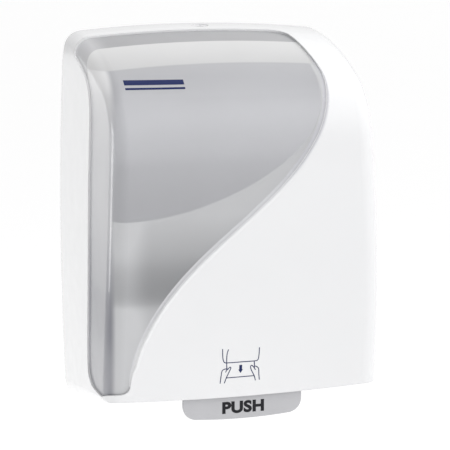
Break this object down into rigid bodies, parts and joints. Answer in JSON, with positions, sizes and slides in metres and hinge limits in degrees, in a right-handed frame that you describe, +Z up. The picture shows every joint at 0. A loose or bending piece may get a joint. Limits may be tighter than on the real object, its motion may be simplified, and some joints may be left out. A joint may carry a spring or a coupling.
{
  "type": "wall paper towel roll dispenser",
  "caption": "Wall-mounted autocut roll towel dispenser with a hinged locking cover, smoked window, cutting drum and push lever.",
  "frame": {"origin": "centre of the four wall screw holes, on the wall plane", "axes": "+Z up, +Y into the wall, -Y out into the room, +X to the right when facing the dispenser"},
  "size_m": [0.3128, 0.2211, 0.4251],
  "materials": {
    "white_cover": "white moulded ABS, polished",
    "smoke_window": "translucent grey moulded polycarbonate, frosted inside",
    "white_base": "white moulded ABS, fine texture",
    "grey_lever": "mid grey moulded ABS, satin",
    "light_grey_mech": "light grey moulded ABS",
    "dark_grey_mech": "dark grey moulded nylon",
    "natural_acetal": "natural acetal",
    "hub_grey": "grey moulded nylon",
    "roller_rubber": "moulded rubber sleeve",
    "bright_steel": "drawn and ground bar",
    "zinc_steel": "zinc plated pressed steel",
    "spring_steel": "spring wire",
    "blade_steel": "hardened serrated strip"
  },
  "bodies": {
    "base": {"back_plate": "white_base", "frame_left": "light_grey_mech", "frame_right": "light_grey_mech", "frame_screws": "zinc_steel", "rear_guide": "light_grey_mech", "front_guide": "light_grey_mech", "drum_bush_left": "natural_acetal", "drum_bush_right": "natural_acetal", "knife_cam": "natural_acetal", "pinch_block_left": "natural_acetal", "pinch_block_right": "natural_acetal", "lever_spring": "spring_steel", "arm_left": "white_base", "arm_bracket": "white_base", "arm_pin": "bright_steel", "arm_spring": "spring_steel", "arm_screws": "zinc_steel", "hub_pin_left": "bright_steel", "keeper": "zinc_steel", "keeper_screws": "zinc_steel"},
    "cover": {"front_cover": "white_cover", "window": "smoke_window", "hinge_pin_left": "bright_steel", "hinge_pin_right": "bright_steel", "lock_housing": "white_base"},
    "lock": {"lock_barrel": "white_base", "lock_cam": "zinc_steel"},
    "lever": {"push_lever": "grey_lever", "lever_shaft": "bright_steel", "lever_sector": "natural_acetal"},
    "pinion": {"drive_pinion": "natural_acetal"},
    "drum": {"drum": "dark_grey_mech", "drum_cap_left": "dark_grey_mech", "drum_cap_right": "dark_grey_mech", "drum_shaft": "bright_steel", "feed_wheel": "dark_grey_mech"},
    "knife": {"knife_carrier": "light_grey_mech", "knife_blade": "blade_steel", "knife_pivot": "bright_steel", "knife_crank": "zinc_steel"},
    "cam_follower": {"cam_roller": "natural_acetal"},
    "pinch_roller": {"pinch_shaft": "bright_steel", "pinch_sleeve_1": "roller_rubber", "pinch_sleeve_2": "roller_rubber", "pinch_sleeve_3": "roller_rubber"},
    "right_arm": {"arm_right": "white_base", "hub_pin_right": "bright_steel"},
    "left_hub": {"hub_left": "hub_grey"},
    "right_hub": {"hub_right": "hub_grey"}
  },
  "joints": [
    {"name": "cover_hinge", "type": "hinge", "parent": "base", "child": "cover", "pos_m": [0, -0.012, -0.2035], "axis": [1, 0, 0], "range_deg": [0, 95]},
    {"name": "lock_turn", "type": "hinge", "parent": "cover", "child": "lock", "pos_m": [0, -0.024, 0.2], "axis": [0, 0, -1], "range_deg": [0, 90]},
    {"name": "lever_push", "type": "hinge", "parent": "base", "child": "lever", "pos_m": [0, -0.15814, -0.11808], "axis": [1, 0, 0], "range_deg": [0, 18], "stiffness_Nm_per_rad": 0.35, "springref_deg": -20.05},
    {"name": "pinion_turn", "type": "hinge", "parent": "base", "child": "pinion", "pos_m": [0, -0.112, -0.092], "axis": [1, 0, 0], "range_deg": [-36, 1]},
    {"name": "drum_spin", "type": "hinge", "parent": "base", "child": "drum", "pos_m": [0, -0.112, -0.092], "axis": [1, 0, 0], "continuous": true},
    {"name": "knife_swing", "type": "hinge", "parent": "drum", "child": "knife", "pos_m": [0, -0.11714, -0.07108], "axis": [-1, 0, 0], "range_deg": [0, 35], "stiffness_Nm_per_rad": 0.2, "springref_deg": -17.19},
    {"name": "follower_spin", "type": "hinge", "parent": "knife", "child": "cam_follower", "pos_m": [-0.1087, -0.1215, -0.08057], "axis": [1, 0, 0], "continuous": true},
    {"name": "pinch_spin", "type": "hinge", "parent": "base", "child": "pinch_roller", "pos_m": [0, -0.08485, -0.1282], "axis": [1, 0, 0], "continuous": true},
    {"name": "arm_spread", "type": "hinge", "parent": "base", "child": "right_arm", "pos_m": [0.118, -0.015, 0.082], "axis": [0, 0, 1], "range_deg": [0, 13], "stiffness_Nm_per_rad": 1, "springref_deg": -11.46},
    {"name": "left_hub_spin", "type": "hinge", "parent": "base", "child": "left_hub", "pos_m": [-0.1, -0.11, 0.082], "axis": [1, 0, 0], "continuous": true},
    {"name": "right_hub_spin", "type": "hinge", "parent": "right_arm", "child": "right_hub", "pos_m": [0.1, -0.11, 0.082], "axis": [1, 0, 0], "continuous": true}
  ],
  "couplings": [
    {"joint": "pinion_turn", "follows": "lever_push", "ratio": -1.9444},
    {"joint": "pinch_spin", "follows": "drum_spin", "ratio": -4}
  ]
}
